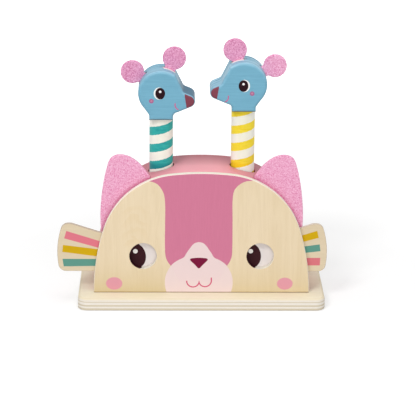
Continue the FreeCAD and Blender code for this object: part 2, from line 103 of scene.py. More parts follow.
# %% [markdown]
# ## Words for material nodes
# A finish could be a picture wrapped round its piece, but a picture has seams and goes soft
# close up; a material made of nodes stays sharp. Link by link it is hard to read, so this
# class gives each kind of node one short word. Places are in millimetres on the toy itself,
# so that a print stays put when its piece moves. A mask is 1 in a pattern and 0 outside it.

# %% A look made of nodes
def ink(red, green, blue):
    """A colour named by its 0 to 255 screen values, as the linear values Blender wants."""
    channels = [c / 255 for c in (red, green, blue)]
    linear = [c / 12.92 if c <= 0.04045 else ((c + 0.055) / 1.055) ** 2.4 for c in channels]
    return (*linear, 1.0)


class Look:
    def __init__(self, name, shelf=bpy.data.materials, shader="Principled BSDF"):
        self.material = shelf.new(name)
        self.material.use_nodes = True
        self.tree = self.material.node_tree
        self.shader = self.tree.nodes[shader]
        self.places = self.tree.nodes.new("ShaderNodeTexCoord")

    def put(self, value, socket):
        if isinstance(value, bpy.types.NodeSocket):
            self.tree.links.new(value, socket)
        else:
            socket.default_value = value

    def node(self, kind, inputs, **settings):
        made = self.tree.nodes.new(kind)
        for key, value in settings.items():
            setattr(made, key, value)
        for key, value in inputs.items():
            self.put(value, made.inputs[key])
        return made

    def math(self, operation, a, b=0.0):
        return self.node("ShaderNodeMath", {0: a, 1: b}, operation=operation).outputs[0]

    def plus(self, a, b):
        return self.math("ADD", a, b)

    def minus(self, a, b):
        return self.math("SUBTRACT", a, b)

    def times(self, a, b):
        return self.math("MULTIPLY", a, b)

    def over(self, a, b):
        return self.math("DIVIDE", a, b)

    def size(self, value):
        return self.math("ABSOLUTE", value)

    def length(self, across, up):
        """How far away a point is that lies so far across and so far up."""
        return self.math("SQRT", self.plus(self.times(across, across), self.times(up, up)))

    def vector(self, operation, a, b):
        return self.node("ShaderNodeVectorMath", {0: a, 1: b}, operation=operation).outputs[0]

    def point(self, origin=(0, 0, 0), scale=(1, 1, 1)):
        """The place on the piece in millimetres, seen from origin and stretched by scale."""
        in_mm = self.vector("MULTIPLY", self.places.outputs["Object"], (1 / MM, 1 / MM, 1 / MM))
        moved = self.vector("SUBTRACT", in_mm, origin)
        return self.vector("MULTIPLY", moved, scale)

    def xyz(self, vector):
        return self.node("ShaderNodeSeparateXYZ", {0: vector}).outputs

    def normal(self):
        """The direction that the surface faces in, as its x, y and z."""
        return self.xyz(self.places.outputs["Normal"])

    def step(self, value, edge, soft=0.15):
        """0 below the edge and 1 above it, with a short soft change between them."""
        inputs = {0: value, 1: edge - soft / 2, 2: edge + soft / 2, 3: 0.0, 4: 1.0}
        kind = "SMOOTHSTEP"
        return self.node("ShaderNodeMapRange", inputs, interpolation_type=kind).outputs[0]

    def below(self, value, edge, soft=0.15):
        return self.no(self.step(value, edge, soft))

    def span(self, value, low, high, soft=0.15):
        """1 from low to high, and 0 outside."""
        return self.both(self.step(value, low, soft), self.below(value, high, soft))

    def remap(self, value, low, high, to_low=0.0, to_high=1.0):
        inputs = {0: value, 1: low, 2: high, 3: to_low, 4: to_high}
        return self.node("ShaderNodeMapRange", inputs).outputs[0]

    def both(self, *masks):
        total = masks[0]
        for mask in masks[1:]:
            total = self.times(total, mask)
        return total

    def either(self, *masks):
        total = masks[0]
        for mask in masks[1:]:
            total = self.math("MAXIMUM", total, mask)
        return total

    def no(self, mask):
        return self.minus(1.0, mask)

    def noise(self, vector, scale, detail=3.0, roughness=0.5, distortion=0.0):
        names = ("Vector", "Scale", "Detail", "Roughness", "Distortion")
        inputs = dict(zip(names, (vector, scale, detail, roughness, distortion)))
        return self.node("ShaderNodeTexNoise", inputs).outputs[0]

    def mix(self, factor, a, b, blend="MIX"):
        made = self.node("ShaderNodeMix", {0: factor}, data_type="RGBA", blend_type=blend)
        self.put(a, made.inputs[6])
        self.put(b, made.inputs[7])
        return made.outputs[2]

    def line(self, height, table):
        """The value that a smooth line through the table's (height, value) points has there."""
        heights = [row[0] for row in table]
        values = [row[1] for row in table]
        low, high = min(values), max(values) + 1e-6
        made = self.tree.nodes.new("ShaderNodeFloatCurve")
        curve = made.mapping.curves[0]
        span = heights[-1] - heights[0]
        spots = [((h - heights[0]) / span, (v - low) / (high - low)) for h, v in table]
        curve.points[0].location = spots[0]
        curve.points[1].location = spots[-1]
        for spot in spots[1:-1]:
            curve.points.new(*spot)
        made.mapping.update()
        self.put(self.remap(height, heights[0], heights[-1]), made.inputs["Value"])
        return self.remap(made.outputs[0], 0.0, 1.0, low, high)

    def bump(self, height, strength, distance=0.05):
        """Height is in units of distance, which is in millimetres."""
        inputs = {"Strength": strength, "Distance": distance * MM, "Height": height}
        self.put(self.node("ShaderNodeBump", inputs).outputs[0], self.shader.inputs["Normal"])

    def finish(self, colour, roughness, shine):
        return self.set(Base_Color=colour, Roughness=roughness, Specular_IOR_Level=shine)

    def set(self, **values):
        for key, value in values.items():
            self.put(value, self.shader.inputs[key.replace("_", " ")])
        return self.material


print("words:", len([w for w in dir(Look) if not w.startswith("_")]))

# %% [markdown]
# ## Birch plywood
# The box is cut from birch plywood. Birch is pale, with short fine fibres, tiny dark pores and
# a broad wavy figure. A picture of a plank would repeat itself, so each of the three is noise
# that is stretched along the grain. On a sawn edge the crossed veneers show as pale bands with
# thin darker glue lines, and those need nothing but the distance across the board.

# %% Grain and plies
BIRCH_TINTS = (ink(237, 219, 189), ink(224, 203, 167))
BIRCH_PORE = ink(176, 140, 98)
PLY_LIGHT = ink(239, 233, 224)
PLY_SPECK = ink(232, 225, 212)
PLY_LINE = ink(211, 198, 173)
ALONG = {"X": (0.045, 1.0, 1.0), "Y": (1.0, 0.045, 1.0), "Z": (1.0, 1.0, 0.045)}
# The scale, detail, roughness and distortion of three noises, and the rings in the figure.
FIGURE = (0.09, 3.0, 0.55, 1.2)
FIBRE = (1.9, 4.0, 0.65, 0.3)
PORES = (3.1, 2.0, 0.5)
RINGS = 34.0


def grain(look, axis, shift=0.0, tints=BIRCH_TINTS):
    """Returns the wood's colour, and a height that follows its fibres and pores."""
    along = look.point((shift, shift, shift), ALONG[axis])
    drift = look.noise(look.vector("MULTIPLY", along, (0.05, 0.05, 0.05)), 1.0, 2.0)
    rings = look.math("SINE", look.times(look.noise(along, *FIGURE), RINGS))
    broad = look.remap(rings, -1.0, 1.0)
    fibre = look.noise(along, *FIBRE)
    pores = look.step(look.noise(along, *PORES), 0.69, 0.08)
    tone = look.plus(look.times(broad, 0.16), drift)
    tone = look.plus(tone, look.times(fibre, 0.4))
    wood = look.mix(look.remap(tone, 0.35, 1.25), *tints)
    wood = look.mix(look.times(pores, 0.16), wood, BIRCH_PORE)
    height = look.minus(look.times(fibre, 0.6), pores)
    return wood, height


def plies(look, distance, thickness, light=PLY_LIGHT, line=PLY_LINE, share=0.15):
    """Colour of a sawn edge, where distance in millimetres runs across the veneers."""
    spot = look.math("FRACT", look.over(distance, thickness))
    speckle = look.noise(look.point(), 1.4, 4.0, 0.7)
    pale = look.mix(look.remap(speckle, 0.3, 0.7), light, PLY_SPECK)
    near = look.math("MINIMUM", spot, look.no(spot))
    glue = look.below(look.minus(near, share), 0.0, 0.16)
    return look.mix(glue, pale, line)


def facing(look, axis, least=0.97):
    """1 where the surface faces along the axis, either way, and 0 on the edges round it."""
    return look.step(look.size(look.normal()[axis]), least, 0.04)


print("grain directions:", list(ALONG))

# %% [markdown]
# ## Boards and panels
# A board has grain on its two faces and plies on its edge. They could be two materials, but
# then each solid has to be cut up by hand. The direction that the surface faces in tells them
# apart, so one material does for the whole board.

# %% Plywood
BOARD_TINTS = (ink(238, 230, 207), ink(226, 214, 187))
TOP_VENEER = 9.2
# Painted shade: above this height the board's sawn edge and its rounded top are darkened.
TOP_EDGE_SHADE = 8.3
TOP_EDGE_SHADE_TINT = (0.92, 0.89, 0.85, 1.0)


def plywood(name, along, across, ply, start, shift, tints=BIRCH_TINTS):
    look = Look(name)
    wood, height = grain(look, along, shift, tints)
    index = "XYZ".index(across)
    place = look.xyz(look.point())[index]
    share = look.remap(place, 3.5, 7.0, 0.24, 0.12)
    edge = plies(look, look.minus(place, start), ply, share=share)
    if across == "Z":
        edge = look.mix(look.step(place, TOP_VENEER, 0.5), edge, wood)
        # Painted shade on the top of the edge and on its rounding.
        edge = look.mix(look.step(place, TOP_EDGE_SHADE, 0.6), edge, TOP_EDGE_SHADE_TINT, "MULTIPLY")
    look.bump(height, 0.3)
    colour = look.mix(facing(look, index), edge, wood)
    return look.finish(colour, 0.55, 0.2)


board_wood = plywood("board_plywood", "X", "Z", 3.0, 1.35, 11.0, BOARD_TINTS)
panel_wood = plywood("panel_plywood", "Z", "Y", 1.3, 25.8, 37.0)
shelf_wood = plywood("shelf_plywood", "X", "Z", 1.5, 80.0, 53.0)
print("plywood materials:", [m.name for m in (board_wood, panel_wood, shelf_wood)])

# %% [markdown]
# ## The shapes of the printed cat's face
# The face is flat ink on the bare birch. Cut out as thin meshes its shapes would cast edges
# that ink doesn't have, so each is a mask, described by its left and right outline: at every
# height, a smooth line through a table of (height, place) gives the place across the face.

# %% Shapes of the face
BAND_LEFT = [(20, -18), (33.4, -24.9), (37, -27.4), (42, -29.2), (47, -29.6), (70, -29.6),
             (88, -29.7), (94, -30.5), (98.5, -32.4), (102, -35.0), (104.3, -38.8), (105.3, -44.0)]
BAND_RIGHT = [(20, 14), (33.9, 20.8), (37.5, 22.9), (42, 24.3), (47, 24.6), (70, 24.6),
              (91, 24.5), (96, 25.1), (100, 27.2), (103.2, 30.6), (105.2, 34.6), (105.9, 40.0)]
MUZZLE_LEFT = [(5, -27.0), (10.4, -28.3), (15, -29.4), (19, -29.7), (25, -29.0), (30, -27.0),
               (33.4, -24.9), (36.3, -22.0), (38.6, -18.6), (39.9, -15.9), (41.2, -14.1),
               (44, -12.5), (48, -9.9), (51, -7.8), (52.6, -6.2), (53.4, -4.6), (53.9, -2.4)]
NOSE_LEFT = [(31.3, -2.4), (32.0, -3.4), (33.5, -4.6), (36.0, -7.0), (38.0, -8.9),
             (39.1, -9.3), (39.8, -8.6), (40.2, -6.6), (40.5, -2.4)]
FACE_MIDDLE = -2.2
CHEEKS = [((-70.8, 18.2), (6.6, 5.4)), ((67.7, 18.2), (6.4, 5.2))]


def beside(look, x, z, table, side):
    """1 to the right of the table's line where side is 1, or to its left where side is -1."""
    off = look.minus(x, look.line(z, table))
    return look.step(look.times(off, side), 0.0)


def mirrored(look, x, z, left):
    """1 between the table's line and its mirror image across the middle of the face."""
    right = [(height, 2 * FACE_MIDDLE - place) for height, place in left]
    inside = look.both(beside(look, x, z, left, 1), beside(look, x, z, right, -1))
    return look.both(inside, look.span(z, left[0][0], left[-1][0]))


def oval(look, x, z, centre, radii, soft=0.15):
    across = look.over(look.minus(x, centre[0]), radii[0])
    up = look.over(look.minus(z, centre[1]), radii[1])
    return look.below(look.length(across, up), 1.0, soft / min(radii))


def ring_line(look, x, z, centre, radius, width):
    away = look.length(look.minus(x, centre[0]), look.minus(z, centre[1]))
    return look.below(look.size(look.minus(away, radius)), width / 2, 0.2)


def printed(look, under, *inks):
    """Inks one over another; cover says how little of what is under an ink shows through."""
    for mask, tint, cover in inks:
        under = look.mix(look.times(mask, cover), under, tint)
    return under


print("points in the outlines:", len(BAND_LEFT + BAND_RIGHT + MUZZLE_LEFT + NOSE_LEFT))

# %% [markdown]
# ## Printing the face
# A band up the forehead, a pale muzzle, a nose, two cheeks and a thin mouth are printed one
# over another, like the screens of a real print. One flat picture would hide the grain; here
# the ink lets it through. The veneer has nested arches. Painted shade makes it browner near
# its foot, more on the left, and darkens the walls of the eye holes beside the pupils, and a
# painted shadow line runs along the foot of the face, where it meets the board.

# %% Marks of the face
FACE_TINTS = (ink(238, 220, 190), ink(221, 200, 163))
# Painted shade: the veneer turns browner towards the foot of the face.
FOOT_SHADE = ink(205, 186, 140)
ARCH_TINT = ink(222, 196, 146)
ARCH_SPAN = 9.5
LIP_RADIUS = 5.1
LIP_WIDTH = 1.0
LIP_TOP = 20.6
MOUTH_X = -2.0
EYE_RISE = 41.9
EYE_SHADE_RADIUS = 11.15
# The middle of each eye hole, and the place across the face where its painted shade ends.
EYE_WALL_SHADES = [(-47.3, -48.5), (47.3, 44.0)]


def arches(look, wood, x, z, middle, foot, top):
    """Pointed arches, nested one over another, where the knife passed a bulge in the log."""
    off = look.minus(x, middle)
    warp = look.remap(look.noise(look.point(), 0.12, 3.0), 0.3, 0.7, -0.35, 0.35)
    rise = look.plus(z, look.times(look.times(off, off), 0.06))
    turn = look.math("FRACT", look.plus(look.over(rise, ARCH_SPAN), warp))
    near = look.below(look.size(off), 10.0, 8.0)
    inside = look.both(near, look.span(z, foot, top, 6.0))
    dark = look.both(look.step(turn, 0.4, 0.7), inside)
    return look.mix(look.times(dark, 0.2), wood, ARCH_TINT)


def mouth(look, x, z):
    """Two half rings side by side, and a short upright hook at their right end."""
    left = ring_line(look, x, z, (-6.9, 20.3), LIP_RADIUS, LIP_WIDTH)
    right = ring_line(look, x, z, (2.9, 20.6), LIP_RADIUS, LIP_WIDTH)
    lips = look.either(
        look.both(left, look.below(x, MOUTH_X)),
        look.both(right, look.step(x, MOUTH_X)),
    )
    hook = look.below(look.size(look.minus(x, 7.95)), LIP_WIDTH / 2)
    return look.either(
        look.both(lips, look.below(z, LIP_TOP)),
        look.both(hook, look.span(z, 20.5, 23.4)),
    )


# Painted shade on the wall of an eye hole, beside the pupil.
def eye_wall_shade(look, x, depth, z, middle, end):
    hole = oval(look, x, z, (middle, EYE_RISE), (EYE_SHADE_RADIUS, EYE_SHADE_RADIUS))
    slant = look.remap(depth, -23.4, -26.4, 0.0, 1.5)
    before = look.below(look.plus(x, slant), end, 0.4)
    return look.both(hole, before, look.below(z, 45.0, 3.0))


print("lip radius in mm:", LIP_RADIUS)

# %% Print the face
BAND_PINKS = (ink(204, 115, 147), ink(208, 119, 151))
MUZZLE_PINK = ink(234, 213, 211)
NOSE_PLUM = ink(118, 8, 54)
CHEEK_PINK = ink(223, 150, 167)
LIP_PINK = ink(208, 82, 118)
WALL_SHADE_BROWN = ink(50, 12, 22)
# A painted shadow line along the foot of the face, where it meets the board.
JOINT_SHADOW_BROWN = ink(150, 112, 60)
JOINT_SHADOW_TOP = 11.0
FACE_EDGE = (ink(248, 244, 230), ink(238, 228, 208))
FACE_PLY = 1.3
FACE_PLY_START = -26.4


def face_print():
    look = Look("printed_face")
    wood, height = grain(look, "Z", 5.0, FACE_TINTS)
    bare_x, depth, z = look.xyz(look.point())[:3]
    wood = arches(look, wood, bare_x, z, -54.0, 50.0, 84.0)
    # Painted shade towards the foot of the face, stronger on the left.
    low = look.math("POWER", look.remap(z, 52.0, 10.4), 2.2)
    low = look.both(low, look.remap(bare_x, -70.0, 70.0, 0.8, 0.5))
    wood = look.mix(low, wood, FOOT_SHADE)
    wobble = look.noise(look.point(), 0.9, 2.0)
    x = look.plus(bare_x, look.remap(wobble, 0.3, 0.7, -0.08, 0.08))
    band = look.both(
        look.either(beside(look, x, z, BAND_LEFT, 1), look.step(z, BAND_LEFT[-1][0])),
        look.either(beside(look, x, z, BAND_RIGHT, -1), look.step(z, BAND_RIGHT[-1][0])),
        look.step(z, BAND_LEFT[0][0]),
    )
    cheeks = look.either(*[oval(look, x, z, *cheek) for cheek in CHEEKS])
    soaked = look.mix(look.remap(height, 0.2, 0.4), *BAND_PINKS)
    colour = printed(
        look, wood,
        (band, soaked, 0.96),
        (mirrored(look, x, z, MUZZLE_LEFT), MUZZLE_PINK, 0.97),
        (mirrored(look, x, z, NOSE_LEFT), NOSE_PLUM, 0.99),
        (cheeks, CHEEK_PINK, 0.93),
        (mouth(look, x, z), LIP_PINK, 0.98),
    )
    edge = plies(look, look.minus(depth, FACE_PLY_START), FACE_PLY, *FACE_EDGE)
    colour = look.mix(facing(look, 1, 0.8), edge, colour)
    # Painted shadow line at the foot of the face.
    colour = look.mix(look.below(z, JOINT_SHADOW_TOP, 0.4), colour, JOINT_SHADOW_BROWN)
    # Painted shade darkens the walls of the eye holes beside the pupils.
    for middle, end in EYE_WALL_SHADES:
        painted_lighting = eye_wall_shade(look, x, depth, z, middle, end)
        colour = look.mix(painted_lighting, colour, WALL_SHADE_BROWN)
    look.bump(height, 0.25, 0.04)
    return look.finish(colour, 0.5, 0.06)


printed_face = face_print()
print("face print nodes:", len(printed_face.node_tree.nodes))

# %% [markdown]
# ## The sliding plate's print
# The plate carries the pupils in its middle and three stripes on each fin, like whiskers.
# Printed on the face, the pupils would stay when the plate slides. A stripe is a slim patch:
# everything on the inner side of four straight lines.

# %% Print the plate
STRIPE_PINK = ink(221, 118, 134)
STRIPE_ROSE = ink(216, 116, 126)
STRIPE_GOLD = ink(206, 166, 6)
STRIPE_GREEN = ink(92, 150, 136)
STRIPES = [
    (STRIPE_PINK, [(-111.0, 54.9), (-74.3, 44.2), (-75.3, 50.4), (-109.2, 61.3)]),
    (STRIPE_GOLD, [(-112.7, 43.3), (-76.3, 38.4), (-75.6, 44.6), (-112.0, 49.3)]),
    (STRIPE_GREEN, [(-111.7, 30.8), (-76.0, 31.4), (-76.0, 37.3), (-112.6, 37.3)]),
    (STRIPE_GOLD, [(72.0, 49.4), (94.7, 55.8), (93.3, 61.8), (72.0, 54.9)]),
    (STRIPE_GREEN, [(72.0, 41.4), (96.4, 44.3), (95.6, 50.2), (72.0, 46.8)]),
    (STRIPE_ROSE, [(72.0, 32.0), (96.2, 32.0), (96.4, 38.5), (72.0, 38.5)]),
]
PLATE_TINTS = (ink(226, 210, 182), ink(212, 194, 162))
# Painted shade for the sawn edge of the plate's left half, and painted light for its right half.
PLATE_EDGE_SHADE_AND_LIGHT = (ink(176, 152, 128), ink(232, 220, 202))
PLATE_LINE = ink(150, 126, 102)
PLATE_PLY = 1.07
PLATE_PLY_START = -20.3
EYE_WHITE = ink(229, 221, 219)
PUPIL_BROWN = ink(52, 12, 22)
GLINT_WHITE = ink(255, 252, 248)
WHITE_RADII = (24.0, 14.5)
PUPIL_RADII = (9.3, 11.2)
GLINT_RADII = (1.9, 1.9)
# Each pupil's middle, how far it leans, and its glint's middle.
EYES = [((-54.4, 40.4), 0.1, (-53.6, 44.0)), ((38.9, 40.4), 0.05, (39.8, 44.2))]


def patch(look, x, z, corners):
    """Corners go round anticlockwise; a point is inside if it is left of every side."""
    sides = []
    for start, end in zip(corners, corners[1:] + corners[:1]):
        length = math.dist(start, end)
        normal_x = -(end[1] - start[1]) / length
        normal_z = (end[0] - start[0]) / length
        reach = normal_x * start[0] + normal_z * start[1]
        spot = look.plus(look.times(x, normal_x), look.times(z, normal_z))
        sides.append(look.step(spot, reach))
    return look.both(*sides)


def plate_print():
    look = Look("printed_plate")
    colour, height = grain(look, "X", 71.0, PLATE_TINTS)
    x, depth, z = look.xyz(look.point())[:3]
    for tint, corners in STRIPES:
        colour = printed(look, colour, (patch(look, x, z, corners), tint, 0.985))
    for spot, lean, glint in EYES:
        white = (spot[0] + 1.0, spot[1] + 1.0)
        upright = look.plus(x, look.times(look.minus(z, spot[1]), lean))
        colour = printed(
            look, colour,
            (oval(look, x, z, white, WHITE_RADII), EYE_WHITE, 0.98),
            (oval(look, upright, z, spot, PUPIL_RADII), PUPIL_BROWN, 0.99),
            (oval(look, x, z, glint, GLINT_RADII), GLINT_WHITE, 0.99),
        )
    # Painted shade darkens the sawn edge on the left, and painted light brightens it on the right.
    edge_light_and_shade = look.mix(look.step(x, 0.0), *PLATE_EDGE_SHADE_AND_LIGHT)
    across = look.minus(depth, PLATE_PLY_START)
    edge = plies(look, across, PLATE_PLY, edge_light_and_shade, PLATE_LINE)
    colour = look.mix(facing(look, 1, 0.9), edge, colour)
    look.bump(height, 0.3, 0.04)
    return look.finish(colour, 0.5, 0.06)


printed_plate = plate_print()
print("stripes on the plate:", len(STRIPES))

# %% [markdown]
# ## Painted wood
# The bent shell is sprayed pink, with a satin paint. A plain colour would look like plastic:
# real spray leaves a fine orange-peel texture, and the wood's fibres lift a little under it.
# Painted shade darkens the coat towards the back and on the shoulders, and on the walls of
# its peg holes. The shell's inside stays bare.

# %% Spray the shell
PAINT_PEEL = 1.4
PEG_X = 32.9
PEG_DEPTH = 2.6
PEG_HOLE = 12.0
SHELL_FRONT = (ink(243, 169, 178), ink(238, 163, 173))
# Painted shade for the back, the shoulders and the walls of the peg holes.
SHELL_BACK_SHADE = ink(179, 92, 105)
SHELL_SHOULDER_SHADE = ink(188, 96, 112)
SHELL_HOLE_SHADE = ink(150, 84, 96)
DOME_MIDDLE = 20.0


def paint_height(look, axis):
    peel = look.noise(look.point(), PAINT_PEEL, 2.0, 0.4)
    lifted = look.noise(look.point(scale=ALONG[axis]), 1.5, 3.0, 0.6)
    return look.plus(look.times(peel, 0.5), look.times(lifted, 0.5))


def sprayed(look, colour, deeper):
    cloud = look.noise(look.point(), 0.045, 3.0)
    return look.mix(look.remap(cloud, 0.3, 0.7), colour, deeper)


def pink_shell():
    look = Look("pink_paint")
    x, y, z = look.xyz(look.point())[:3]
    outward = look.normal()
    on_top = look.remap(outward[2], 0.5, 0.95, 0.4, 1.0)
    # Painted shade on the top, deeper towards the back and on the shoulders.
    back_shade = look.both(look.remap(y, -4.0, 24.0), on_top)
    pink = look.mix(back_shade, sprayed(look, *SHELL_FRONT), SHELL_BACK_SHADE)
    shoulder_shade = look.remap(look.size(x), 14.0, 46.0, 0.0, 0.65)
    pink = look.mix(shoulder_shade, pink, SHELL_SHOULDER_SHADE)
    bare, _ = grain(look, "Y", 91.0)
    sideways = look.times(outward[0], x)
    upwards = look.times(outward[2], look.minus(z, DOME_MIDDLE))
    away = look.plus(sideways, upwards)
    colour = look.mix(look.step(away, -2.0, 2.0), bare, pink)
    # Painted shade on the walls of the peg holes.
    from_peg = look.length(look.minus(look.size(x), PEG_X), look.minus(y, PEG_DEPTH))
    wall = look.below(look.size(outward[2]), 0.8, 0.2)
    hole = look.both(look.below(from_peg, PEG_HOLE), wall)
    colour = look.mix(hole, colour, SHELL_HOLE_SHADE)
    look.bump(paint_height(look, "Y"), 0.25)
    return look.finish(colour, 0.45, 0.2)


shell_paint = pink_shell()
print("pegs stand at mm:", (-PEG_X, PEG_DEPTH), (PEG_X, PEG_DEPTH))

# %% [markdown]
# ## The blue heads' coat
# Each head is flat-cut from thick board with rounded edges, then sprayed blue. One even blue
# would hide its shape. On the surfaces that look up the paint wears light in streaks and lies
# dark in the grooves; painted highlights brighten the rims that look up and the front of the
# top, and painted shade darkens the top of the left head's snout and the foot of the neck. So
# the way that the surface faces decides where each tint goes. Places are measured forward and
# up from the peg's top.

# %% Coat a head
HEAD_HALF = 13.5
HEAD_ROUND = 2.3
HEAD_BLUES = (ink(122, 178, 201), ink(110, 165, 189))
GROOVE_BLUE = ink(92, 142, 168)
HIGHLIGHT_AND_WEAR_BLUE = ink(176, 212, 230)
SNOUT_SHADE_BLUE = ink(48, 98, 126)
NECK_SHADE_BLUE = ink(44, 68, 78)


def head_coat(look, u, y, z, outward, snout_shade, wear):
    fibre = look.noise(look.point(scale=ALONG["X"]), 0.9, 4.0, 0.7, 0.4)
    blue = look.mix(look.remap(fibre, 0.3, 0.7), *HEAD_BLUES)
    depth = look.size(y)
    upward = look.remap(outward[2], 0.05, 0.5)
    streak = look.noise(look.point(scale=(0.1, 1.0, 0.1)), 0.3, 3.0, 0.6, 0.2)
    groove = look.both(upward, look.below(streak, 0.45, 0.08))
    blue = look.mix(look.times(groove, 0.6), blue, GROOVE_BLUE)
    ridge = look.both(upward, look.step(streak, 0.52, 0.1), wear)
    # Painted highlight on the upper half of the rounded rims, and painted light towards the front
    # of the top.
    at_edge = look.step(depth, HEAD_HALF - HEAD_ROUND, 0.6)
    rim = look.both(look.remap(outward[2], 0.4, 0.85, 0.0, 0.75), at_edge)
    shelf = look.both(upward, look.remap(y, 3.0, -3.0, 0.0, 0.4))
    # The light streaks of wear, together with the painted highlight and the painted light.
    painted_lighting = look.either(ridge, rim, shelf)
    blue = look.mix(look.times(painted_lighting, 0.7), blue, HIGHLIGHT_AND_WEAR_BLUE)
    # Painted shade on the top of the snout, as strong as the head asks for.
    between_edges = look.below(depth, HEAD_HALF - 1.6, 0.8)
    shaded_snout = look.both(upward, look.step(u, 14.5, 3.0), between_edges)
    blue = look.mix(look.times(shaded_snout, snout_shade), blue, SNOUT_SHADE_BLUE)
    # Painted shade in a thin band at the foot of the neck, where the head sits on the peg.
    return look.mix(look.below(z, 0.8, 0.3), blue, NECK_SHADE_BLUE)


print("head thickness in mm:", 2 * HEAD_HALF)

# %% [markdown]
# ## The heads' faces and ear slots
# The little face is printed on both flat sides: an eye with a white rim behind it, a cheek, a
# smile, and the dark end of the snout. It is made of masks like the cat's face, kept to the
# flat sides. The slots for the felt ears are sawn after painting: the front one shows bare
# wood at its lip, and the back one lies in shade.

# %% Print a head
# The middle, the radii and the edge's softness of each round mark, and its colour.
HEAD_MARKS = [
    (((-7.35, 14.6), (1.85, 1.85)), ink(166, 96, 140)),
    (((-7.35, 14.75), (0.9, 0.9), 0.8), ink(192, 132, 156)),
    (((-1.13, 20.85), (4.4, 5.0)), ink(240, 240, 238)),
    (((-0.38, 20.8), (3.87, 4.75)), ink(34, 4, 14)),
    (((-0.38, 22.3), (1.0, 1.0)), ink(244, 240, 240)),
]
SNOUT_PLUM = ink(127, 64, 78)
SMILE_PINK = ink(196, 98, 144)
EAR_HUB = 22.0
SLOT_HALF = 6.05
SLOT_BARE = ink(255, 250, 238)
SLOT_SHADE = ink(52, 60, 84)


def head_print(look, colour, u, y, z, shift):
    flat = look.step(look.size(y), HEAD_HALF - 0.67, 0.3)
    aside, above = look.minus(u, shift[0]), look.minus(z, shift[1])
    smile = look.both(
        ring_line(look, aside, above, (15.7, 11.65), 4.3, 0.9),
        look.span(above, 7.45, 12.95),
        look.below(aside, 14.3),
    )
    slant = look.minus(aside, look.remap(z, 9.5, 20.1, 20.7, 19.0))
    marks = [(look.step(slant, 0.0), SNOUT_PLUM), (smile, SMILE_PINK)]
    marks += [(oval(look, aside, above, *place), tint) for place, tint in HEAD_MARKS]
    return printed(look, colour, *[(look.both(mask, flat), tint, 1.0) for mask, tint in marks])


def ear_slot(look, u, z, angle):
    """1 in the strip that a slot is sawn in, and the distance from the strip's middle."""
    lean = math.radians(angle)
    rise = look.minus(z, EAR_HUB)
    along = look.plus(look.times(u, -math.sin(lean)), look.times(rise, math.cos(lean)))
    out = look.plus(look.times(u, math.cos(lean)), look.times(rise, math.sin(lean)))
    off = look.size(along)
    return look.both(look.below(off, SLOT_HALF, 0.05), look.step(out, 10.0)), off


def head_paint(name, axis_x, neck, forward, ears, print_shift, snout_shade, wear):
    look = Look(name)
    x, y, z = look.xyz(look.point((axis_x, PEG_DEPTH, neck)))[:3]
    u = look.times(x, forward)
    outward = look.normal()
    colour = head_coat(look, u, y, z, outward, snout_shade, wear)
    colour = head_print(look, colour, u, y, z, print_shift)
    front, off = ear_slot(look, u, z, ears[0])
    back, _ = ear_slot(look, u, z, ears[1])
    wall = look.step(look.size(outward[1]), 0.8, 0.1)
    wall = look.both(wall, look.below(look.size(y), 2.0, 0.05))
    lip = look.both(look.span(y, -4.4, -1.2, 0.3), look.below(off, 4.8, 0.6))
    bare = look.both(front, look.either(wall, lip))
    colour = look.mix(bare, colour, SLOT_BARE)
    colour = look.mix(look.both(back, wall), colour, SLOT_SHADE)
    look.bump(paint_height(look, "X"), 0.3)
    return look.finish(colour, 0.4, 0.1)


LEFT_NECK = 151.2
RIGHT_NECK = 158.2
LEFT_EARS = (68.0, 147.5)
RIGHT_EARS = (74.5, 152.5)
# The left head's snout top gets painted shade, and the right one's gets none.
left_head_paint = head_paint(
    "left_head_paint", -PEG_X, LEFT_NECK, 1.0, LEFT_EARS, (-0.35, 1.35), 0.9, 0.3
)
right_head_paint = head_paint(
    "right_head_paint", PEG_X, RIGHT_NECK, -1.0, RIGHT_EARS, (1.0, 0.8), 0.0, 0.9
)
print("heads painted at heights:", LEFT_NECK, RIGHT_NECK)

# %% [markdown]
# ## Striped pegs
# The stripe is a helix, painted as the peg turns against a brush. A strip of mesh would be
# thicker than paint. Unrolled, a helix is a straight slanted line, so the height minus the
# turned angle tells whether a point lies in the stripe or between two. The end grain in the
# middle of the peg stays bare.

# %% Wind the stripes
STRIPE_PITCH = 14.3
STRIPE_SHARE = 0.485
BARE_CORE = 84.0
CREAM_FOOT = ink(238, 243, 230)
CREAM_SIDE_LIGHT = ink(253, 252, 241)
# Four tints of each paint: thin, thick, at the foot, and painted light on the two sides.
TEALS = (ink(54, 179, 172), ink(26, 147, 148), ink(20, 136, 140), ink(48, 178, 170))
YELLOWS = (ink(245, 223, 70), ink(234, 202, 28), ink(240, 205, 24), ink(254, 228, 56))
TEAL_CREAMS = (ink(246, 245, 232), ink(240, 238, 224))
YELLOW_CREAMS = (ink(242, 241, 226), ink(237, 234, 214))


def stripe_mask(look, x, y, z):
    turns = look.math("ARCTAN2", look.times(y, -1.0), look.times(x, -1.0))
    turns = look.over(turns, math.tau)
    brush = look.noise(look.point(), 0.8, 3.0)
    rise = look.minus(look.over(z, STRIPE_PITCH), turns)
    rise = look.plus(rise, look.remap(brush, 0.3, 0.7, -0.012, 0.012))
    phase = look.plus(look.minus(rise, STRIPE_SHARE / 2), 0.5)
    wave = look.size(look.minus(look.math("FRACT", phase), 0.5))
    return look.below(wave, STRIPE_SHARE / 2, 0.02)


